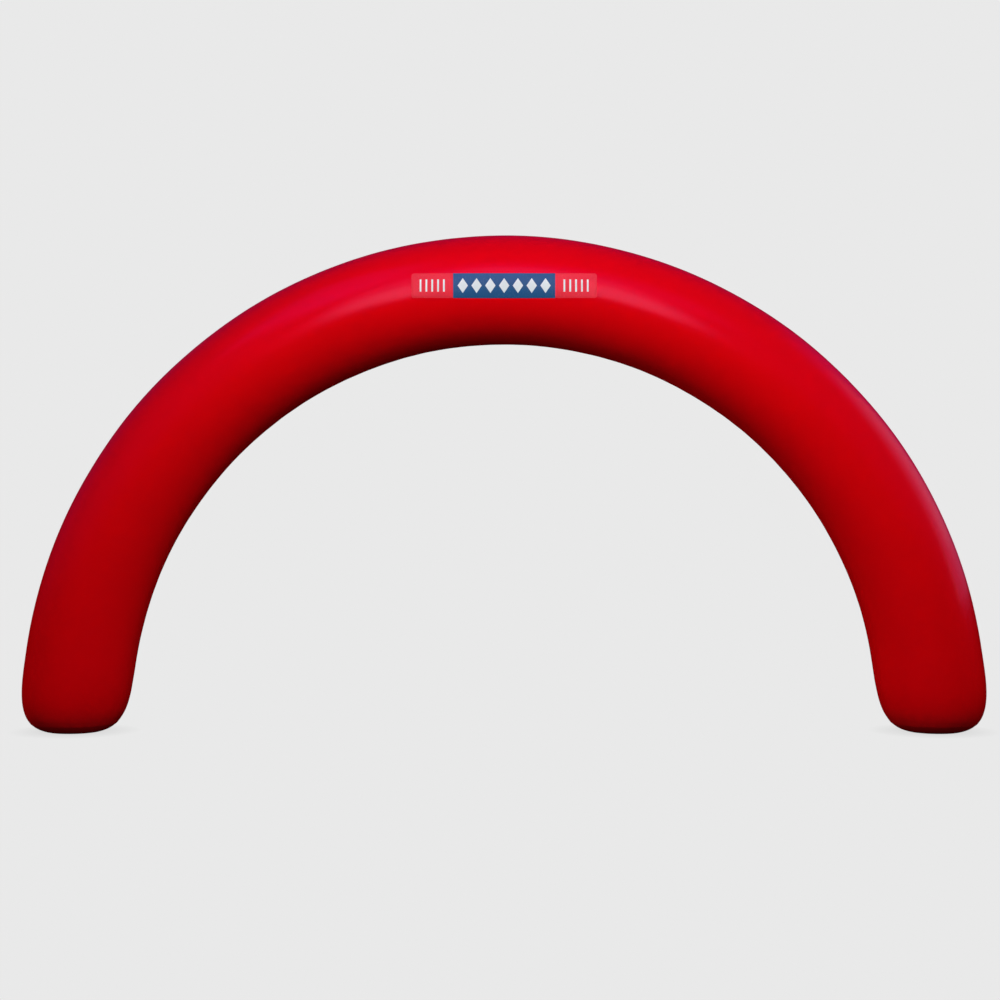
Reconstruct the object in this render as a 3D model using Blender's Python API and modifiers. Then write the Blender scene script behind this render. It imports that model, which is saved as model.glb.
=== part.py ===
"""Inflatable arch: one air-filled tube bent into a half ring, standing on two rounded feet,
with a thin printed panel fixed across the front of its crown.

Units are metres, +Z is up. The origin is on the floor, midway between the feet. The arch spans
along X, and its front faces -Y.
"""
import math

import bmesh
import bpy

# ---- driving dimensions -------------------------------------------------------------------

OVERALL_WIDTH = 6.10          # across the outside of both legs
TUBE_RADIUS = 0.3433          # of the inflated tube, away from its feet
LEG_HEIGHT = 0.088            # plumb centreline between the floor and the half ring

FOOT_ROUNDING = 0.478         # length of centreline over which the tube draws in to its base
FOOT_CONTACT_RADIUS = 0.165   # flat disc that rests on the floor
FOOT_FULLNESS = 3.62          # across the tube: larger keeps the side straight for longer
FOOT_DROP = 3.85              # along the tube: larger draws in later and quicker
FOOT_SPLAY = 0.0195           # outward drift of the base under the weight of the arch
FOOT_PLUMB = 0.006            # lowest stretch of centreline, plumb so that the base is level

PANEL_LENGTH = 1.143
PANEL_WIDTH = 0.154
PANEL_THICKNESS = 0.0015
PANEL_CORNER_RADIUS = 0.015
PANEL_DROP = 0.009            # panel's middle below the middle of the tube at the crown
PANEL_CLEARANCE = 0.0005      # between the tube's true surface and the back of the panel

# ---- fineness of the faceted solids -------------------------------------------------------

FOOT_STATIONS = 16            # rings in each foot, closer together towards the floor
RING_STATIONS = 66            # rings in the plain half ring between the feet
TUBE_BEVEL_RESOLUTION = 16    # 36 sides
PANEL_CELLS_LONG = 26
PANEL_CELLS_WIDE = 8
PANEL_CORNER_SEGMENTS = 4
CUT_TOLERANCE = 1e-6

# ---- sizes that follow --------------------------------------------------------------------

RING_RADIUS = OVERALL_WIDTH / 2 - TUBE_RADIUS
CROWN_STATION = LEG_HEIGHT + math.pi / 2 * RING_RADIUS   # half of the centreline's length

# ---- finishes: linear colour and roughness ------------------------------------------------

TUBE_RED = (0.60, 0.003, 0.006)
TUBE_ROUGHNESS = 0.30
PANEL_BLUE = (0.018, 0.077, 0.23)
PANEL_ROUGHNESS = 0.35


def new_collection(name):
    collection = bpy.data.collections.new(name)
    bpy.context.scene.collection.children.link(collection)
    return collection


def new_material(name, colour, roughness):
    material = bpy.data.materials.new(name)
    material.use_nodes = True
    shader = material.node_tree.nodes["Principled BSDF"]
    shader.inputs["Base Color"].default_value = (*colour, 1.0)
    shader.inputs["Roughness"].default_value = roughness
    shader.inputs["Metallic"].default_value = 0.0
    return material


def foot_ease(station):
    """1 at the floor and 0 where the foot meets the plain tube, level at both."""
    t = (station - FOOT_PLUMB) / (FOOT_ROUNDING - FOOT_PLUMB)
    t = min(max(t, 0.0), 1.0)
    return 1.0 - t * t * (3.0 - 2.0 * t)


def tube_radius(station):
    """Radius at a length of centreline above the floor. Each foot is a superellipse."""
    depth = max(0.0, 1.0 - station / FOOT_ROUNDING)
    contact = FOOT_CONTACT_RADIUS ** FOOT_FULLNESS
    growth = TUBE_RADIUS ** FOOT_FULLNESS - contact
    return (contact + growth * (1.0 - depth ** FOOT_DROP)) ** (1.0 / FOOT_FULLNESS)


def centre_point(station):
    """X and Z of the centreline's +X half at a length above the floor."""
    if station <= LEG_HEIGHT:
        x, z = RING_RADIUS, station
    else:
        angle = (station - LEG_HEIGHT) / RING_RADIUS
        x = RING_RADIUS * math.cos(angle)
        z = LEG_HEIGHT + RING_RADIUS * math.sin(angle)
    return x + FOOT_SPLAY * foot_ease(station), z


def half_stations():
    """Lengths of centreline above the floor, from one base up to the crown."""
    foot = [FOOT_ROUNDING * (i / FOOT_STATIONS) ** 2 for i in range(FOOT_STATIONS + 1)]
    foot[1] = FOOT_PLUMB
    steps = RING_STATIONS // 2
    rise = (CROWN_STATION - FOOT_ROUNDING) / steps
    return foot + [FOOT_ROUNDING + rise * i for i in range(1, steps + 1)]


def tube_rings():
    """X, Z and radius of each ring, from the +X base round to the -X base."""
    right = [(*centre_point(station), tube_radius(station)) for station in half_stations()]
    left = [(-x, z, radius) for x, z, radius in reversed(right[:-1])]
    return right + left


def build_arch_tube(collection):
    curve = bpy.data.curves.new("arch_tube", "CURVE")
    curve.dimensions = "3D"
    curve.bevel_depth = 1.0
    curve.bevel_resolution = TUBE_BEVEL_RESOLUTION
    curve.use_fill_caps = True

    rings = tube_rings()
    spline = curve.splines.new("POLY")
    spline.points.add(len(rings) - 1)
    for point, (x, z, radius) in zip(spline.points, rings):
        point.co = (x, 0.0, z, 1.0)
        point.radius = radius
    spline.use_smooth = True

    curve.materials.append(new_material("red_coated_cloth", TUBE_RED, TUBE_ROUGHNESS))
    collection.objects.link(bpy.data.objects.new("arch_tube", curve))


def tube_front(x, z):
    """Y of the tube's true front surface at a point of the front view."""
    from_centreline = math.hypot(x, z - LEG_HEIGHT) - RING_RADIUS
    return -math.sqrt(TUBE_RADIUS ** 2 - from_centreline ** 2)


def cut_across(sheet, length, cells, axis):
    """Cut the sheet into equal cells along one axis."""
    for i in range(1, cells):
        place = length * (i / cells - 0.5)
        everything = sheet.verts[:] + sheet.edges[:] + sheet.faces[:]
        bmesh.ops.bisect_plane(sheet, geom=everything, dist=CUT_TOLERANCE,
                               plane_co=[place * a for a in axis], plane_no=axis)


def flat_panel():
    """The panel before it is wrapped: a rounded rectangle in XY, in cells that can bend."""
    sheet = bmesh.new()
    bmesh.ops.create_grid(sheet, x_segments=1, y_segments=1, size=0.5)
    bmesh.ops.scale(sheet, vec=(PANEL_LENGTH, PANEL_WIDTH, 1.0), verts=sheet.verts)
    bmesh.ops.bevel(sheet, geom=sheet.verts[:], offset=PANEL_CORNER_RADIUS, affect="VERTICES",
                    offset_type="OFFSET", segments=PANEL_CORNER_SEGMENTS, profile=0.5)
    cut_across(sheet, PANEL_LENGTH, PANEL_CELLS_LONG, (1.0, 0.0, 0.0))
    cut_across(sheet, PANEL_WIDTH, PANEL_CELLS_WIDE, (0.0, 1.0, 0.0))
    return sheet


def build_print_panel(collection):
    sheet = flat_panel()
    middle = LEG_HEIGHT + RING_RADIUS - PANEL_DROP
    for vertex in sheet.verts:
        x, z = vertex.co.x, middle + vertex.co.y
        vertex.co = (x, tube_front(x, z) - PANEL_CLEARANCE, z)
    bmesh.ops.triangulate(sheet, faces=sheet.faces[:])

    mesh = bpy.data.meshes.new("print_panel")
    sheet.to_mesh(mesh)
    sheet.free()
    mesh.shade_smooth()
    mesh.materials.append(new_material("printed_coated_cloth", PANEL_BLUE, PANEL_ROUGHNESS))

    panel = bpy.data.objects.new("print_panel", mesh)
    collection.objects.link(panel)
    thickness = panel.modifiers.new("thickness", "SOLIDIFY")
    thickness.thickness = PANEL_THICKNESS
    thickness.offset = 1.0


def main():
    for thing in list(bpy.data.objects):
        bpy.data.objects.remove(thing, do_unlink=True)
    arch = new_collection("inflatable_arch")
    build_arch_tube(arch)
    build_print_panel(arch)


main()
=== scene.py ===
"""Looks of the inflatable arch: the taut coated cloth of the tube, with its welded seams and
small gathers, the printed panel on its crown, and a plain studio round it. Metres, +Z up.
"""
import math

import bmesh
import bpy
import numpy as np
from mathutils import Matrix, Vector


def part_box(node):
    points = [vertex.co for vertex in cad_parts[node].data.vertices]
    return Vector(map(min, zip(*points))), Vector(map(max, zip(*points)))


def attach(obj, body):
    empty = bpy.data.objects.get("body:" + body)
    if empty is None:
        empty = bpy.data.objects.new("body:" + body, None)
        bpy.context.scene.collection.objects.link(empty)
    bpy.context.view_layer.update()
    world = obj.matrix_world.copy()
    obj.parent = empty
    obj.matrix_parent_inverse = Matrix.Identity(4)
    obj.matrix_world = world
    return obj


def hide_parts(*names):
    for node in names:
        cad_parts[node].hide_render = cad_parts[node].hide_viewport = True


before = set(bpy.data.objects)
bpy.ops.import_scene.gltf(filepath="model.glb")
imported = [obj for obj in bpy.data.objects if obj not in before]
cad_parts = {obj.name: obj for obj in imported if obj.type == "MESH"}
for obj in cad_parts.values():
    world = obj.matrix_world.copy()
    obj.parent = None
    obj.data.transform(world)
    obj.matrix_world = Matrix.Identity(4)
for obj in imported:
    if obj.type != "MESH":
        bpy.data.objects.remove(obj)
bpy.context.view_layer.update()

# ---- sizes --------------------------------------------------------------------------------

TUBE_LOW, TUBE_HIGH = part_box("arch_tube")
PANEL_LOW, PANEL_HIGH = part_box("print_panel")

LEG_HEIGHT = 0.088            # plumb centreline between the floor and the half ring
TUBE_RADIUS = (TUBE_HIGH.y - TUBE_LOW.y) / 2
RING_RADIUS = TUBE_HIGH.z - LEG_HEIGHT - TUBE_RADIUS
CROWN_STATION = LEG_HEIGHT + math.pi / 2 * RING_RADIUS

FOOT_ROUNDING = 0.478         # length of centreline over which the tube draws in to its base
FOOT_CONTACT_RADIUS = 0.165   # of the flat base
FOOT_FULLNESS = 3.62          # across the tube: larger keeps the side straight for longer
FOOT_DROP = 3.85              # along the tube: larger draws in later and quicker
FOOT_SPLAY = 0.0195           # outward drift of the base under the weight of the arch

TAPE_HALF_WIDTH = 0.019       # welded tape along the outside and the inside of the bend
TAPE_HEIGHT = 0.0014
TAPE_EDGE = 0.003
BASE_WELD_STATION = 0.052     # weld between the tube and its base disc
BASE_WELD_HALF_WIDTH = 0.010
BASE_WELD_HEIGHT = 0.0016
BASE_WELD_LEVEL = 0.6         # share of the weld's width that is level

# Small folds across the tapes, on the inside and on the outside of the bend
INNER_FOLD_HEIGHT = 0.0004
INNER_FOLD_PITCHES = (0.155, 0.247)
INNER_SECOND_SHARE = 0.6      # of the second pitch against the first
INNER_FOLD_LEAST = 0.1        # share of the height left where the folds are weakest
INNER_FOLD_REACH = 0.10       # round the tube from the tape
OUTER_FOLD_HEIGHT = 0.0003
OUTER_FOLD_PITCH = 0.171
OUTER_FOLD_REACH = 0.06

# Slow swells of the whole tube: radians a metre along it, and waves round it either way
SWELL_HEIGHT = 0.0005
SWELLS = ((4.9, 2), (7.7, -3))
SECOND_SWELL_START = 1.3

# Gathers round each foot, just above its weld
GATHERS = 19
GATHER_HEIGHT = 0.0014
GATHER_SWAY = 1.5             # radians by which they run out of step
GATHER_STATION = 0.085
GATHER_REACH = 0.035

FOLDS_FADE_IN = (0.10, 0.35)  # lengths above the floor over which the folds and swells grow
TAPE_FADES_IN = (0.045, 0.065)

# The slow uneven curve is a sum of these waves: radians a metre, and shift for each seed
WANDER_WAVES = ((1.31, 2.7), (2.93, 5.1), (5.57, 1.9))

PANEL_LENGTH = 1.143
PANEL_WIDTH = 0.154
PANEL_THICKNESS = 0.0015
PANEL_CORNER_RADIUS = 0.015
PANEL_MIDDLE = (PANEL_LOW.z + PANEL_HIGH.z) / 2      # height above the floor
PANEL_GAP = 0.0003            # between the panel's back and the cloth it lies on
PANEL_WELD_INSETS = (0.004, 0.0015, 0.004, 0.0015)   # border, slope, weld line, slope
PANEL_WELD_DEPTH = 0.0005
PANEL_WELD_MARGIN = 0.0005    # keeps the slopes' outer points at the full height
PANEL_RIM_ROUNDING = 0.0004
PANEL_RIM_SEGMENTS = 2
PANEL_RIM_ANGLE = 50          # degrees; sharper edges than this are rounded

# ---- fineness -----------------------------------------------------------------------------

BASE_RINGS = 5                # concentric rings of each flat base disc
FOOT_STATIONS = 46
FOOT_CROWDING = 1.6           # above 1, the foot's rings crowd towards the floor
RING_STATIONS = 352
PLAIN_SIDES = 168             # even columns round the tube; the two tapes add close ones
TAPE_COLUMNS = (0.0, 0.009, 0.0165, 0.0178, 0.0192, 0.0205, 0.024)   # from a tape's middle
TAPE_CLEARANCE = 0.004        # from the last close column to the first even one
FAR_FROM_TAPE = 1.0           # for the middles of the bases, which no tape reaches
PANEL_CELLS_LONG = 80
PANEL_CELLS_WIDE = 12
PANEL_CORNER_SEGMENTS = 8
CUT_TOLERANCE = 1e-6


# ---- shape of the tube --------------------------------------------------------------------

def smooth_step(low, high, value):
    """Smooth rise from 0, at low, to 1, at high."""
    t = np.clip((value - low) / (high - low), 0.0, 1.0)
    return t * t * (3.0 - 2.0 * t)


def wander(place, seed):
    """Slow uneven curve from -1 to 1, the same on every run."""
    return sum(np.sin(place * rate + seed * shift)
               for rate, shift in WANDER_WAVES) / len(WANDER_WAVES)


def uneven(place, seed, least=0.0):
    """Factor that wanders slowly between least and 1."""
    return (1.0 + least) / 2 + (1.0 - least) / 2 * wander(place, seed)


def folds(run, pitch, start, sway, seed):
    """Folds at an even pitch along the tube, put out of step by a slow wander."""
    return np.sin(run * 2 * math.pi / pitch + start + sway * wander(run, seed))


def fade(distance, reach):
    """Bell-shaped fall from 1 as the distance grows."""
    return np.exp(-(distance / reach) ** 2)


def tube_radius(station):
    """Radius at a length of centreline above the floor."""
    depth = np.maximum(0.0, 1.0 - station / FOOT_ROUNDING)
    contact = FOOT_CONTACT_RADIUS ** FOOT_FULLNESS
    growth = TUBE_RADIUS ** FOOT_FULLNESS - contact
    return (contact + growth * (1.0 - depth ** FOOT_DROP)) ** (1.0 / FOOT_FULLNESS)


def tube_stations():
    """Lengths along the whole centreline, from the +X base round to the -X base."""
    foot = FOOT_ROUNDING * (np.arange(FOOT_STATIONS) / FOOT_STATIONS) ** FOOT_CROWDING
    ring = np.linspace(FOOT_ROUNDING, 2 * CROWN_STATION - FOOT_ROUNDING, RING_STATIONS + 1)
    return np.concatenate([foot, ring, 2 * CROWN_STATION - foot[::-1]])


def angle_from_tape(angle):
    """Angle to the nearer of the outer and the inner tape."""
    return np.abs((angle + math.pi / 2) % math.pi - math.pi / 2)


def tube_columns():
    """Angles round the tube, 0 on the outside of the bend, with close columns at the tapes."""
    even = 2 * math.pi * np.arange(PLAIN_SIDES) / PLAIN_SIDES
    reach = (max(TAPE_COLUMNS) + TAPE_CLEARANCE) / TUBE_RADIUS
    both_sides = sorted({side * place for place in TAPE_COLUMNS for side in (-1, 1)})
    close = np.array(both_sides) / TUBE_RADIUS
    return np.sort(np.concatenate([even[angle_from_tape(even) > reach],
                                   close % (2 * math.pi), math.pi + close]))


def cloth_relief(run, angle):
    """Outward offset of the cloth from the plain tube: tapes, folds, swells, welds, gathers.

    run is the place along the centreline from the +X base, angle the one round the tube."""
    station = np.minimum(run, 2 * CROWN_STATION - run)
    to_outer = TUBE_RADIUS * np.minimum(angle, 2 * math.pi - angle)
    to_inner = TUBE_RADIUS * np.abs(angle - math.pi)
    to_tape = np.minimum(to_outer, to_inner)

    tape = TAPE_HEIGHT * (1.0 - smooth_step(TAPE_HALF_WIDTH - TAPE_EDGE / 2,
                                            TAPE_HALF_WIDTH + TAPE_EDGE / 2, to_tape))
    first_pitch, second_pitch = INNER_FOLD_PITCHES
    inner_fold = folds(run, first_pitch, start=0.0, sway=2.3, seed=1.0)
    inner_fold += INNER_SECOND_SHARE * folds(run, second_pitch, start=1.0, sway=2.0, seed=2.0)
    inner = (INNER_FOLD_HEIGHT * uneven(run * 1.7, 3.0, INNER_FOLD_LEAST) * inner_fold
             * fade(to_inner, INNER_FOLD_REACH))
    outer_fold = folds(run, OUTER_FOLD_PITCH, start=0.0, sway=2.0, seed=4.0)
    outer = (OUTER_FOLD_HEIGHT * uneven(run * 1.9, 5.0) * outer_fold
             * fade(to_outer, OUTER_FOLD_REACH))
    (first_along, first_round), (second_along, second_round) = SWELLS
    swell = SWELL_HEIGHT * (
        np.sin(run * first_along + first_round * angle + wander(run, 6.0))
        + np.sin(run * second_along + second_round * angle + SECOND_SWELL_START))

    above_foot = smooth_step(*FOLDS_FADE_IN, station)
    relief = (inner + outer + swell) * above_foot + tape * smooth_step(*TAPE_FADES_IN, station)

    to_weld = np.abs(station - BASE_WELD_STATION)
    weld = BASE_WELD_HEIGHT * (1.0 - smooth_step(BASE_WELD_HALF_WIDTH * BASE_WELD_LEVEL,
                                                 BASE_WELD_HALF_WIDTH, to_weld))
    base_fold = np.sin(GATHERS * angle + GATHER_SWAY * wander(angle * 3 + run, 7.0))
    gathers = (GATHER_HEIGHT * uneven(angle * 2.0, 8.0) * base_fold
               * fade(station - GATHER_STATION, GATHER_REACH))
    return relief + weld + gathers


def tube_points(run, angle):
    """Points of the finished cloth surface, for matching arrays of run and angle."""
    station = np.minimum(run, 2 * CROWN_STATION - run)
    side = np.where(run <= CROWN_STATION, 1.0, -1.0)
    lean = np.maximum(0.0, station - LEG_HEIGHT) / RING_RADIUS
    splay = FOOT_SPLAY * (1.0 - smooth_step(0.0, FOOT_ROUNDING, station))
    middle_x = RING_RADIUS * np.cos(lean) + splay
    middle_z = np.minimum(station, LEG_HEIGHT) + RING_RADIUS * np.sin(lean)
    radius = tube_radius(station) + cloth_relief(run, angle)
    outward = radius * np.cos(angle)
    return np.stack([side * (middle_x + outward * np.cos(lean)),
                     -radius * np.sin(angle),
                     middle_z + outward * np.sin(lean)], axis=-1)


# ---- pieces -------------------------------------------------------------------------------

def new_collection(name):
    collection = bpy.data.collections.new(name)
    bpy.context.scene.collection.children.link(collection)
    return collection


def tube_faces(rings, columns):
    """Quads between the rings, a ring of triangles at each pole."""
    ring, column = np.meshgrid(np.arange(rings - 1), np.arange(columns), indexing="ij")
    after = (column + 1) % columns
    a = ring * columns + column
    b = ring * columns + after
    quads = np.stack([a, b, b + columns, a + columns], axis=-1).reshape(-1, 4).tolist()
    first_pole, last_pole = rings * columns, rings * columns + 1
    last = (rings - 1) * columns
    for i in range(columns):
        j = (i + 1) % columns
        quads.append([first_pole, j, i])
        quads.append([last_pole, last + i, last + j])
    return quads


def lay_out_tube(mesh, runs, angles, shares):
    """UV map in metres: along the tube, and round it from the outer tape."""
    base = FOOT_CONTACT_RADIUS * (1.0 - shares)
    along = np.concatenate([-base, runs, runs[-1] + base[::-1]])
    poles = [-FOOT_CONTACT_RADIUS, runs[-1] + FOOT_CONTACT_RADIUS]
    columns = len(angles)
    half_turn = math.pi * TUBE_RADIUS
    corner = np.empty(len(mesh.loops), dtype=np.int32)
    mesh.loops.foreach_get("vertex_index", corner)
    on_ring = corner < len(along) * columns
    ring = np.minimum(corner // columns, len(along) - 1)
    u = np.where(on_ring, along[ring], np.where(corner == corner.max(), poles[1], poles[0]))
    around = angles[corner % columns] * TUBE_RADIUS
    start = np.empty(len(mesh.polygons), dtype=np.int32)
    total = np.empty(len(mesh.polygons), dtype=np.int32)
    mesh.polygons.foreach_get("loop_start", start)
    mesh.polygons.foreach_get("loop_total", total)
    face = np.repeat(np.arange(len(start)), total)
    widest = np.maximum.reduceat(np.where(on_ring, around, 0.0), start)
    # The faces that close the ring go on past a full turn instead of back to the start.
    closing = (widest[face] > half_turn * 1.5) & (around < half_turn / 2)
    v = around + np.where(closing, 2 * half_turn, 0.0)
    v = np.where(on_ring, v, widest[face])
    layer = mesh.uv_layers.new(name="cloth")
    layer.data.foreach_set("uv", np.stack([u, v], axis=-1).ravel())


def build_tube_cloth(collection, material):
    runs, angles = tube_stations(), tube_columns()
    run, angle = np.meshgrid(runs, angles, indexing="ij")
    skin = tube_points(run, angle)

    shares = np.arange(1, BASE_RINGS) / BASE_RINGS
    foot_x = RING_RADIUS + FOOT_SPLAY
    centres = np.array([[foot_x, 0.0, 0.0], [-foot_x, 0.0, 0.0]])
    first = np.stack([centres[0] + s * (skin[0] - centres[0]) for s in shares])
    last = np.stack([centres[1] + s * (skin[-1] - centres[1]) for s in shares[::-1]])
    rings = np.concatenate([first, skin, last])
    points = np.concatenate([rings.reshape(-1, 3), centres])

    mesh = bpy.data.meshes.new("tube_cloth")
    mesh.from_pydata(points.tolist(), [], tube_faces(len(rings), len(angles)))
    mesh.validate()
    mesh.shade_smooth()

    over_rings = np.tile(TUBE_RADIUS * angle_from_tape(angles), len(rings))
    layer = mesh.attributes.new("to_tape", "FLOAT", "POINT")
    layer.data.foreach_set("value", np.concatenate([over_rings, [FAR_FROM_TAPE] * 2]))
    lay_out_tube(mesh, runs, angles, shares)

    cloth = bpy.data.objects.new("tube_cloth", mesh)
    cloth.data.materials.append(material)
    collection.objects.link(cloth)
    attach(cloth, "root")
    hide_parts("arch_tube")


def cut_across(sheet, length, cells, axis):
    """Cuts the flat sheet into equal cells along one axis."""
    for i in range(1, cells):
        place = length * (i / cells - 0.5)
        everything = sheet.verts[:] + sheet.edges[:] + sheet.faces[:]
        bmesh.ops.bisect_plane(sheet, geom=everything, dist=CUT_TOLERANCE,
                               plane_co=[place * a for a in axis], plane_no=axis)


def edge_distance(x, y):
    """How far inside the panel's rounded outline a point lies."""
    dx = abs(x) - (PANEL_LENGTH / 2 - PANEL_CORNER_RADIUS)
    dy = abs(y) - (PANEL_WIDTH / 2 - PANEL_CORNER_RADIUS)
    if dx > 0 and dy > 0:
        return PANEL_CORNER_RADIUS - math.hypot(dx, dy)
    return PANEL_CORNER_RADIUS - max(dx, dy)


def panel_point(x, z, height):
    """A point of the front view laid on the cloth, and raised by height."""
    around = math.atan2(x, z - LEG_HEIGHT)
    from_middle = math.hypot(x, z - LEG_HEIGHT) - RING_RADIUS
    angle = math.acos(from_middle / TUBE_RADIUS)
    run = CROWN_STATION - RING_RADIUS * around
    radius = TUBE_RADIUS + float(cloth_relief(run, angle)) + height
    depth = math.sqrt(radius ** 2 - from_middle ** 2)
    return Vector((x, -depth, z))


def build_panel_cloth(collection, material):
    sheet = bmesh.new()
    bmesh.ops.create_grid(sheet, x_segments=1, y_segments=1, size=0.5)    # 1 m square
    bmesh.ops.scale(sheet, vec=(PANEL_LENGTH, PANEL_WIDTH, 1.0), verts=sheet.verts)
    bmesh.ops.bevel(sheet, geom=sheet.verts[:], offset=PANEL_CORNER_RADIUS, affect="VERTICES",
                    offset_type="OFFSET", segments=PANEL_CORNER_SEGMENTS,
                    profile=0.5)    # a round corner
    for inset in PANEL_WELD_INSETS:
        inner = max(sheet.faces, key=lambda face: face.calc_area())
        bmesh.ops.inset_region(sheet, faces=[inner], thickness=inset, use_even_offset=True)
    cut_across(sheet, PANEL_LENGTH, PANEL_CELLS_LONG, (1.0, 0.0, 0.0))
    cut_across(sheet, PANEL_WIDTH, PANEL_CELLS_WIDE, (0.0, 1.0, 0.0))

    layout = sheet.loops.layers.uv.new("layout")
    for face in sheet.faces:
        for loop in face.loops:
            loop[layout].uv = (loop.vert.co.x, loop.vert.co.y)

    weld_start = PANEL_WELD_INSETS[0]
    weld_end = sum(PANEL_WELD_INSETS)
    for vertex in sheet.verts:
        x, y = vertex.co.x, vertex.co.y
        inside = edge_distance(x, y)
        sunk = weld_start + PANEL_WELD_MARGIN < inside < weld_end - PANEL_WELD_MARGIN
        height = PANEL_GAP + PANEL_THICKNESS - (PANEL_WELD_DEPTH if sunk else 0.0)
        vertex.co = panel_point(x, PANEL_MIDDLE + y, height)

    mesh = bpy.data.meshes.new("panel_cloth")
    sheet.to_mesh(mesh)
    sheet.free()
    mesh.shade_smooth()

    panel = bpy.data.objects.new("panel_cloth", mesh)
    panel.data.materials.append(material)
    collection.objects.link(panel)
    thickness = panel.modifiers.new("thickness", "SOLIDIFY")
    thickness.thickness = PANEL_THICKNESS
    thickness.offset = -1.0
    rim = panel.modifiers.new("soft_rim", "BEVEL")
    rim.width = PANEL_RIM_ROUNDING
    rim.segments = PANEL_RIM_SEGMENTS
    rim.limit_method = "ANGLE"
    rim.angle_limit = math.radians(PANEL_RIM_ANGLE)
    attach(panel, "root")
    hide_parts("print_panel")


# ---- materials ----------------------------------------------------------------------------

RED = (0.79, 0.0001, 0.0022)
RED_RUBBED = (0.765, 0.0002, 0.0026)
RED_WELDED = (0.70, 0.0001, 0.0020)
FLOOR_DUST = (0.30, 0.10, 0.075)
PRINT_BLUE = (0.020, 0.095, 0.240)
PRINT_PALE_RED = (0.83, 0.032, 0.055)
PRINT_WHITE = (0.74, 0.80, 0.83)

GLOSS_TINT = (1.0, 0.01, 0.95, 1.0)    # the red cloth's weak sheens are magenta

# Shares of the second colour where the red cloth changes most
RUBBED_SHARE = 0.35
TAPE_SHARE = 0.5
RIDGE_SHARE = 0.35            # along the edges of the tapes
DUST_SHARE = 0.05
DUST_DIES_AWAY = (0.02, 0.20)  # heights above the floor

# Roughness and coat of each cloth, and what the rubs, tapes, dust and patches change
CLOTH_ROUGHNESS = 0.29
RUBS_ROUGHEN = 0.05
TAPE_SMOOTHS = 0.05
DUST_ROUGHENS = 0.15
CLOTH_COAT = 0.26
RUBS_THIN_COAT = 0.04
PRINT_ROUGHNESS = 0.40
PATCHES_ROUGHEN = 0.06
PRINT_WEAR = 0.04             # share of white where the print is rubbed

SCRIM_THREAD = 0.0018         # spacing of the threads that show through the coating
WEAVE_DEPTH = 0.00004
PANEL_WEAVE_DEPTH = 0.00003
PEBBLE_SCALE = 260.0
PEBBLE_SHARE = 0.9            # of the coating's pebbles against the threads

RUB_FINENESS = 11.0           # the rubs are this many times finer than the patches
RUB_LEVELS = (0.50, 0.72)     # noise levels between which a rub sets in
RUBBED_AREAS = (0.42, 0.62)   # levels of the patches between which there are rubs

PANEL_MIDDLE_FIELD = 0.315    # half length of the blue field
LOZENGES = 7
LOZENGE_PITCH = 0.085
LOZENGE_HALF_LENGTH = 0.032
LOZENGE_HALF_HEIGHT = 0.046
END_FIELD_MIDDLE = (PANEL_MIDDLE_FIELD + PANEL_LENGTH / 2) / 2
BARS = 5                      # on each end field
BAR_PITCH = 0.036
BAR_HALF_WIDTH = 0.0055
BAR_HALF_HEIGHT = 0.038
PRINT_EDGE = 0.0008


class Tree:
    """Adds nodes to one shader tree and joins them up."""

    def __init__(self, tree):
        self.nodes, self.links = tree.nodes, tree.links

    def join(self, value, socket):
        if isinstance(value, bpy.types.NodeSocket):
            self.links.new(value, socket)
        else:
            socket.default_value = value

    def add(self, kind, **settings):
        node = self.nodes.new(kind)
        for name, value in settings.items():
            setattr(node, name, value)
        return node

    def split(self, vector):
        node = self.add("ShaderNodeSeparateXYZ")
        self.join(vector, node.inputs[0])
        return node.outputs

    def math(self, operation, *values):
        node = self.add("ShaderNodeMath", operation=operation)
        for value, socket in zip(values, node.inputs):
            self.join(value, socket)
        return node.outputs[0]

    def ease(self, value, low, high, start=0.0, end=1.0):
        """Smooth change from start, at low, to end, at high."""
        node = self.add("ShaderNodeMapRange", interpolation_type="SMOOTHSTEP")
        for given, name in ((value, "Value"), (low, "From Min"), (high, "From Max"),
                            (start, "To Min"), (end, "To Max")):
            self.join(given, node.inputs[name])
        return node.outputs["Result"]

    def noise(self, place, scale, detail, roughness=0.5):
        node = self.add("ShaderNodeTexNoise")
        for given, name in ((place, "Vector"), (scale, "Scale"), (detail, "Detail"),
                            (roughness, "Roughness")):
            self.join(given, node.inputs[name])
        return node.outputs["Fac"]

    def blend(self, share, first, second):
        """Colour between first and second."""
        node = self.add("ShaderNodeMix", data_type="RGBA")
        colours = [socket for socket in node.inputs if socket.type == "RGBA"]
        self.join(share, node.inputs["Factor"])
        for given, socket in zip((first, second), colours):
            self.join(given if isinstance(given, bpy.types.NodeSocket) else (*given, 1.0),
                      socket)
        return next(socket for socket in node.outputs if socket.type == "RGBA")

    def bump(self, height, distance):
        node = self.add("ShaderNodeBump")
        self.join(height, node.inputs["Height"])
        self.join(distance, node.inputs["Distance"])
        return node.outputs["Normal"]

    def mix_shaders(self, share, first, second):
        node = self.add("ShaderNodeMixShader")
        for given, socket in zip((share, first, second), node.inputs):
            self.join(given, socket)
        return node.outputs[0]

    def group(self, group, **values):
        node = self.add("ShaderNodeGroup", node_tree=group)
        for name, value in values.items():
            self.join(value, node.inputs[name.replace("_", " ").title()])
        return node.outputs


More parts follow.
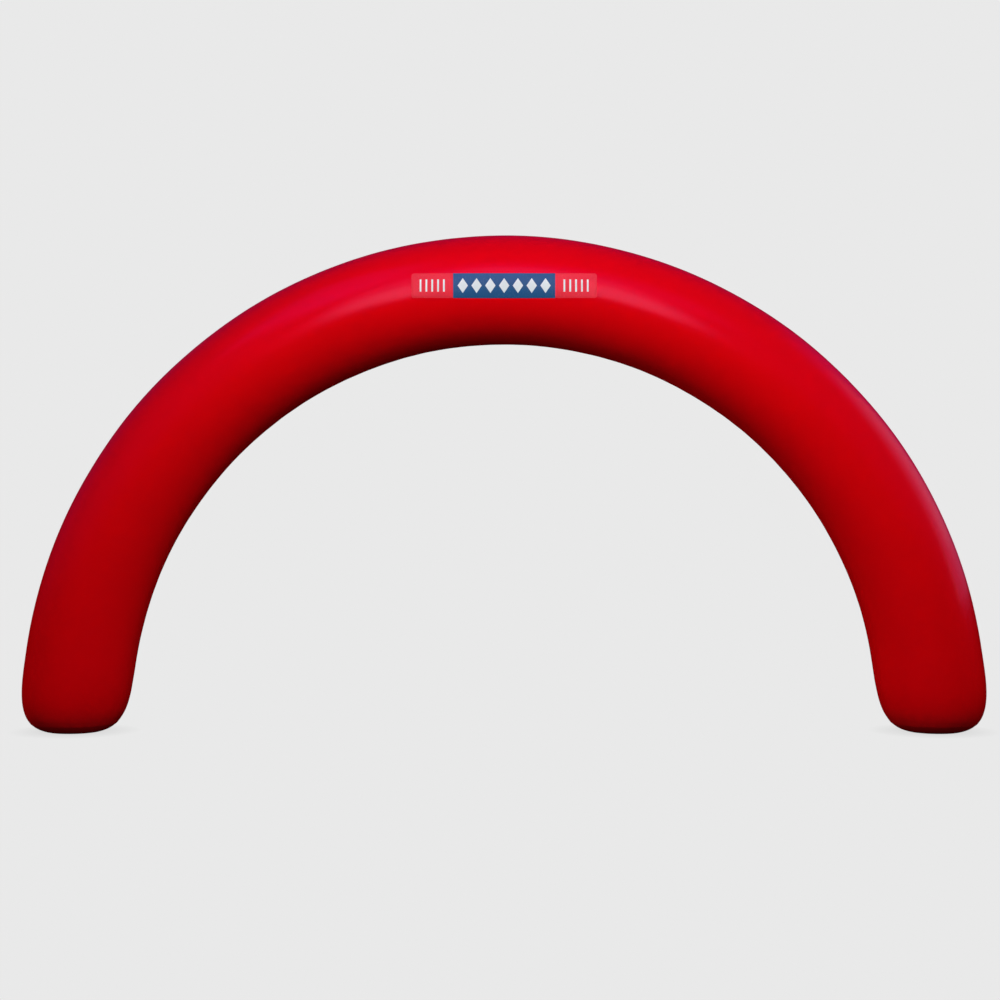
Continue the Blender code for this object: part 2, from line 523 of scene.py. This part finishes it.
def new_group(name, inputs, outputs):
    """Shader node group; inputs are (name, socket kind, value) and outputs (name, kind)."""
    group = bpy.data.node_groups.new(name, "ShaderNodeTree")
    for label, kind, value in inputs:
        socket = group.interface.new_socket(label, in_out="INPUT",
                                            socket_type="NodeSocket" + kind)
        if value is not None:
            socket.default_value = value
    for label, kind in outputs:
        group.interface.new_socket(label, in_out="OUTPUT", socket_type="NodeSocket" + kind)
    tree = Tree(group)
    return group, tree, tree.add("NodeGroupInput").outputs, tree.add("NodeGroupOutput").inputs


def scrim_weave_group():
    """Threads and pebbled coating, as a height from about -1 to 1."""
    group, tree, given, result = new_group(
        "scrim_weave", [("Place", "Vector", None), ("Thread", "Float", SCRIM_THREAD)],
        [("Height", "Float")])
    place = tree.split(given["Place"])
    turns = [tree.math("DIVIDE", place[axis], given["Thread"]) for axis in ("X", "Y")]
    waves = [tree.math("SINE", tree.math("MULTIPLY", math.pi, turn)) for turn in turns]
    threads = tree.math("MULTIPLY", *waves)
    pebble = tree.math("SUBTRACT", tree.noise(given["Place"], PEBBLE_SCALE, detail=2.0), 0.5)
    tree.join(tree.math("MULTIPLY_ADD", pebble, PEBBLE_SHARE, threads), result["Height"])
    return group


def handling_marks_group():
    """Slow patches of rubbed and dulled coating, from 0 to 1."""
    group, tree, given, result = new_group(
        "handling_marks", [("Place", "Vector", None), ("Patch", "Float", 2.2),
                           ("Spread", "Float", 0.16)],
        [("Patches", "Float"), ("Rubs", "Float")])
    patches = tree.noise(given["Place"], given["Patch"], detail=3.0, roughness=0.55)
    low = tree.math("SUBTRACT", 0.5, given["Spread"])
    high = tree.math("ADD", 0.5, given["Spread"])
    tree.join(tree.ease(patches, low, high), result["Patches"])
    fine = tree.noise(given["Place"], tree.math("MULTIPLY", given["Patch"], RUB_FINENESS),
                      detail=4.0, roughness=0.6)
    rubs = tree.math("MULTIPLY", tree.ease(fine, *RUB_LEVELS),
                     tree.ease(patches, *RUBBED_AREAS))
    tree.join(rubs, result["Rubs"])
    return group


def weld_band_group():
    """A band of welded cloth: the band itself and the fine ridge along its edge."""
    group, tree, given, result = new_group(
        "weld_band", [("Distance", "Float", 0.0), ("Half Width", "Float", 0.01),
                      ("Soft", "Float", 0.0015)],
        [("Band", "Float"), ("Ridge", "Float")])
    inner = tree.math("SUBTRACT", given["Half Width"], given["Soft"])
    outer = tree.math("ADD", given["Half Width"], given["Soft"])
    tree.join(tree.ease(given["Distance"], inner, outer, 1.0, 0.0), result["Band"])
    from_edge = tree.math("ABSOLUTE", tree.math("SUBTRACT", given["Distance"],
                                                given["Half Width"]))
    tree.join(tree.ease(from_edge, 0.0, given["Soft"], 1.0, 0.0), result["Ridge"])
    return group


def new_material(name):
    material = bpy.data.materials.new(name)
    material.use_nodes = True
    tree = Tree(material.node_tree)
    return material, tree, tree.nodes["Principled BSDF"].inputs


def red_cloth_material(scrim_weave, handling_marks, weld_band):
    material, tree, shader = new_material("red_coated_cloth")
    cloth = tree.add("ShaderNodeUVMap", uv_map="cloth").outputs["UV"]
    whole = tree.add("ShaderNodeTexCoord").outputs["Object"]
    to_tape = tree.add("ShaderNodeAttribute", attribute_name="to_tape").outputs["Fac"]

    weave = tree.group(scrim_weave, place=cloth)["Height"]
    marks = tree.group(handling_marks, place=whole)
    tape = tree.group(weld_band, distance=to_tape, half_width=TAPE_HALF_WIDTH)

    low_cloth = tree.ease(tree.split(whole)["Z"], *DUST_DIES_AWAY, 1.0, 0.0)
    specks = tree.noise(whole, scale=30.0, detail=5.0, roughness=0.6)
    dust = tree.math("MULTIPLY", low_cloth, specks)

    colour = RED
    for mask, share, other in ((marks["Patches"], RUBBED_SHARE, RED_RUBBED),
                               (tape["Band"], TAPE_SHARE, RED_WELDED),
                               (tape["Ridge"], RIDGE_SHARE, RED_WELDED),
                               (dust, DUST_SHARE, FLOOR_DUST)):
        colour = tree.blend(tree.math("MULTIPLY", mask, share), colour, other)
    tree.join(colour, shader["Base Color"])

    rough = tree.math("MULTIPLY_ADD", marks["Rubs"], RUBS_ROUGHEN, CLOTH_ROUGHNESS)
    rough = tree.math("MULTIPLY_ADD", tape["Band"], -TAPE_SMOOTHS, rough)
    rough = tree.math("MULTIPLY_ADD", dust, DUST_ROUGHENS, rough)
    tree.join(rough, shader["Roughness"])
    coat = tree.math("MULTIPLY_ADD", marks["Rubs"], -RUBS_THIN_COAT, CLOTH_COAT)
    tree.join(coat, shader["Coat Weight"])
    shader["Specular IOR Level"].default_value = 0.30
    shader["Specular Tint"].default_value = GLOSS_TINT
    shader["Coat Roughness"].default_value = 0.20
    shader["Coat IOR"].default_value = 2.0
    tree.join(tree.bump(weave, WEAVE_DEPTH), shader["Normal"])
    return material


def panel_material(scrim_weave, handling_marks):
    material, tree, shader = new_material("printed_coated_cloth")
    layout = tree.add("ShaderNodeUVMap", uv_map="layout").outputs["UV"]
    place = tree.split(layout)
    along = tree.math("ABSOLUTE", place["X"])
    across = tree.math("ABSOLUTE", place["Y"])
    from_end_middle = tree.math("SUBTRACT", along, END_FIELD_MIDDLE)

    def inside(value, limit):
        return tree.ease(value, limit - PRINT_EDGE / 2, limit + PRINT_EDGE / 2, 1.0, 0.0)

    middle_field = inside(along, PANEL_MIDDLE_FIELD)
    from_lozenge = tree.math("PINGPONG", along, LOZENGE_PITCH / 2)
    slant = tree.math("MULTIPLY_ADD", across, LOZENGE_HALF_LENGTH / LOZENGE_HALF_HEIGHT,
                      from_lozenge)
    lozenges = tree.math("MULTIPLY", inside(slant, LOZENGE_HALF_LENGTH),
                         inside(along, LOZENGES * LOZENGE_PITCH / 2))
    from_bar = tree.math("PINGPONG", from_end_middle, BAR_PITCH / 2)
    bars = tree.math("MULTIPLY", inside(from_bar, BAR_HALF_WIDTH),
                     inside(across, BAR_HALF_HEIGHT))
    row = inside(tree.math("ABSOLUTE", from_end_middle), BARS * BAR_PITCH / 2)
    motifs = tree.math("MAXIMUM", lozenges, tree.math("MULTIPLY", bars, row))

    marks = tree.group(handling_marks, place=layout, patch=9.0)
    colour = tree.blend(middle_field, PRINT_PALE_RED, PRINT_BLUE)
    colour = tree.blend(motifs, colour, PRINT_WHITE)
    worn = tree.math("MULTIPLY", marks["Rubs"], PRINT_WEAR)
    tree.join(tree.blend(worn, colour, PRINT_WHITE), shader["Base Color"])
    rough = tree.math("MULTIPLY_ADD", marks["Patches"], PATCHES_ROUGHEN, PRINT_ROUGHNESS)
    tree.join(rough, shader["Roughness"])
    shader["Specular IOR Level"].default_value = 0.22
    shader["Coat Weight"].default_value = 0.25
    shader["Coat Roughness"].default_value = 0.15
    weave = tree.group(scrim_weave, place=layout)["Height"]
    tree.join(tree.bump(weave, PANEL_WEAVE_DEPTH), shader["Normal"])
    return material


# ---- studio -------------------------------------------------------------------------------

PALE_GREY = 0.815             # of the floor and of what lies beyond it
FLOOR_RADIUS = 60.0
FLOOR_SIDES = 96
CONTACT_SHADE = 0.86          # share of the floor's paleness left close beside the cloth
CONTACT_SHADE_REACH = 0.15

MIDDLE = (0.0, 0.0, 1.6)      # where the fill lights point
NEAR_SIZE = (1.58, 1.10)
FAR_SIZE = (2.98, 2.08)
OPEN = 180.0                  # spread of a light without a grid, in degrees
WHITE = (1.0, 1.0, 1.0)
PALE_ROSE = (1.0, 0.234, 0.765)
ROSE = (1.0, 0.08, 1.0)

# Softboxes seen in the cloth: name, shape, place, aim, (width, height), spread in degrees,
# watts, colour of the reflection. Those that overlap hang in planes of their own.
SEEN_LIGHTS = (
    ("key", "ELLIPSE", (0.1, -5.0, 4.7), (0.1, 0.0, 3.4),
     (4.4, 4.4), 100.0, 19.0, PALE_ROSE),
    ("key_core", "ELLIPSE", (0.1, -4.9, 4.0), (0.1, 0.0, 3.4),
     (3.4, 2.6), 100.0, 5.1, WHITE),
    ("tall_right", "RECTANGLE", (5.5, 3.3, 4.0), (0.0, 3.3, 4.0),
     (7.0, 5.6), 136.0, 20.2, ROSE),
    ("upper_right", "RECTANGLE", (5.6, 1.9, 3.6), (0.0, 1.9, 3.6),
     (2.6, 3.4), 120.0, 3.3, WHITE),
    ("low_right", "RECTANGLE", (5.4, 1.5, 2.8), (0.0, 1.5, 2.8),
     (4.0, 3.2), 130.0, 3.6, WHITE),
    ("high_left", "RECTANGLE", (-3.2, -2.9, 7.2), (-1.4, 0.0, 2.6),
     (3.2, 3.2), 120.0, 6.2, ROSE),
    ("high_front", "RECTANGLE", (0.1, -5.2, 7.4), (0.1, 0.0, 3.0),
     (9.0, 2.6), 140.0, 13.3, ROSE),
)

# Fill that lights the cloth but is not seen in it: name, place, aim, (width, height), watts
FILL_LIGHTS = (
    ("fill_front", (0.0, -6.96, 6.38), MIDDLE, FAR_SIZE, 304.0),
    ("fill_low", (0.0, -8.42, 2.68), MIDDLE, FAR_SIZE, 65.5),
    ("fill_left", (-7.91, -2.88, 2.68), MIDDLE, FAR_SIZE, 46.0),
    ("fill_right", (4.19, -1.52, 2.13), MIDDLE, NEAR_SIZE, 5.8),
    ("fill_near_right", (2.56, -3.65, 2.13), MIDDLE, NEAR_SIZE, 8.1),
    ("side_right", (6.73, 1.80, 6.38), MIDDLE, FAR_SIZE, 88.0),
    ("back_left", (-5.43, 6.47, 2.60), MIDDLE, FAR_SIZE, 275.0),
    ("back_high", (0.0, 6.96, 6.38), MIDDLE, FAR_SIZE, 180.0),
    ("leg_left", (-6.0, 2.0, 0.8), (-2.9, 0.0, 0.4), (2.0, 1.0), 58.0),
    ("leg_right", (5.2, 0.3, 0.5), (2.9, 0.0, 0.4), (1.6, 0.6), 10.8),
)
ROOM_LIGHT = 0.037            # from all round, apart from the reflections
CEILING_LIGHT = 0.088         # the dim glow the cloth reflects from above
CEILING_RISE = (0.02, 0.38)   # upward share of the direction over which it grows


def build_world():
    world = bpy.data.worlds.new("studio")
    bpy.context.scene.world = world
    world.use_nodes = True
    world.cycles.sampling_method = "NONE"
    world.node_tree.nodes.clear()
    tree = Tree(world.node_tree)

    def background(colour, strength):
        node = tree.add("ShaderNodeBackground")
        tree.join((*colour, 1.0), node.inputs["Color"])
        tree.join(strength, node.inputs["Strength"])
        return node.outputs[0]

    ray = tree.add("ShaderNodeLightPath").outputs
    direction = tree.split(tree.add("ShaderNodeTexCoord").outputs["Generated"])
    rise = tree.ease(direction["Z"], *CEILING_RISE, 0.0, CEILING_LIGHT)
    room = background(WHITE, ROOM_LIGHT)
    ceiling = background(ROSE, rise)
    backdrop = background((PALE_GREY,) * 3, 1.0)
    lit = tree.mix_shaders(ray["Is Glossy Ray"], room, ceiling)
    seen = tree.mix_shaders(ray["Is Camera Ray"], lit, backdrop)
    tree.join(seen, tree.add("ShaderNodeOutputWorld").inputs["Surface"])


def build_floor(collection):
    mesh = bpy.data.meshes.new("floor")
    disc = bmesh.new()
    bmesh.ops.create_circle(disc, cap_ends=True, segments=FLOOR_SIDES, radius=FLOOR_RADIUS)
    disc.to_mesh(mesh)
    disc.free()
    floor = bpy.data.objects.new("floor", mesh)
    collection.objects.link(floor)

    material = bpy.data.materials.new("pale_floor")
    material.use_nodes = True
    material.node_tree.nodes.clear()
    tree = Tree(material.node_tree)
    near = tree.add("ShaderNodeAmbientOcclusion")
    tree.join(CONTACT_SHADE_REACH, near.inputs["Distance"])
    shade = tree.add("ShaderNodeMapRange")
    tree.join(near.outputs["AO"], shade.inputs["Value"])
    tree.join(PALE_GREY * CONTACT_SHADE, shade.inputs["To Min"])
    tree.join(PALE_GREY, shade.inputs["To Max"])
    glow = tree.add("ShaderNodeEmission")
    tree.join(shade.outputs["Result"], glow.inputs["Strength"])
    from_below = tree.add("ShaderNodeNewGeometry").outputs["Backfacing"]
    clear = tree.add("ShaderNodeBsdfTransparent")
    surface = tree.mix_shaders(from_below, glow.outputs[0], clear.outputs[0])
    tree.join(surface, tree.add("ShaderNodeOutputMaterial").inputs["Surface"])
    floor.data.materials.append(material)
    floor.visible_diffuse = False
    floor.visible_glossy = False
    floor.visible_shadow = False


def build_light(name, shape, place, aim, size, spread, watts, colour, reflected):
    """A lamp for the reflections alone, if reflected, or else for everything but them."""
    light = bpy.data.lights.new(name, "AREA")
    light.shape = shape
    light.size, light.size_y = size
    light.spread = math.radians(spread)
    light.energy = watts
    light.color = colour
    light.cycles.use_multiple_importance_sampling = reflected
    lamp = bpy.data.objects.new(name, light)
    lamp.location = place
    lamp.rotation_euler = (Vector(aim) - Vector(place)).to_track_quat("-Z", "Y").to_euler()
    lamp.visible_camera = False
    lamp.visible_diffuse = not reflected
    lamp.visible_glossy = reflected
    bpy.context.scene.collection.objects.link(lamp)


def build_lights():
    """Each softbox is one light for the reflections and a white one for all the rest."""
    for name, *setting, colour in SEEN_LIGHTS:
        build_light(name, *setting, colour, reflected=True)
        build_light(name + "_fill", *setting, WHITE, reflected=False)
    for name, place, aim, size, watts in FILL_LIGHTS:
        build_light(name, "RECTANGLE", place, aim, size, OPEN, watts, WHITE, reflected=False)


CAMERA_PLACE = (-0.0255, -12.218, 1.464)
CAMERA_LENS = 69.37           # millimetres, as is the sensor
CAMERA_SENSOR = 36.0


def build_camera():
    data = bpy.data.cameras.new("camera")
    data.lens = CAMERA_LENS
    data.sensor_width = CAMERA_SENSOR
    camera = bpy.data.objects.new("camera", data)
    camera.location = CAMERA_PLACE
    camera.rotation_euler = (math.radians(90), 0.0, 0.0)
    bpy.context.scene.collection.objects.link(camera)
    bpy.context.scene.camera = camera


def main():
    pieces = new_collection("inflatable_arch")
    scrim_weave, handling_marks = scrim_weave_group(), handling_marks_group()
    red_cloth = red_cloth_material(scrim_weave, handling_marks, weld_band_group())
    build_tube_cloth(pieces, red_cloth)
    build_panel_cloth(pieces, panel_material(scrim_weave, handling_marks))
    stage = new_collection("studio")
    build_floor(stage)
    build_world()
    build_lights()
    build_camera()
    bpy.context.scene.view_settings.view_transform = "Standard"


main()
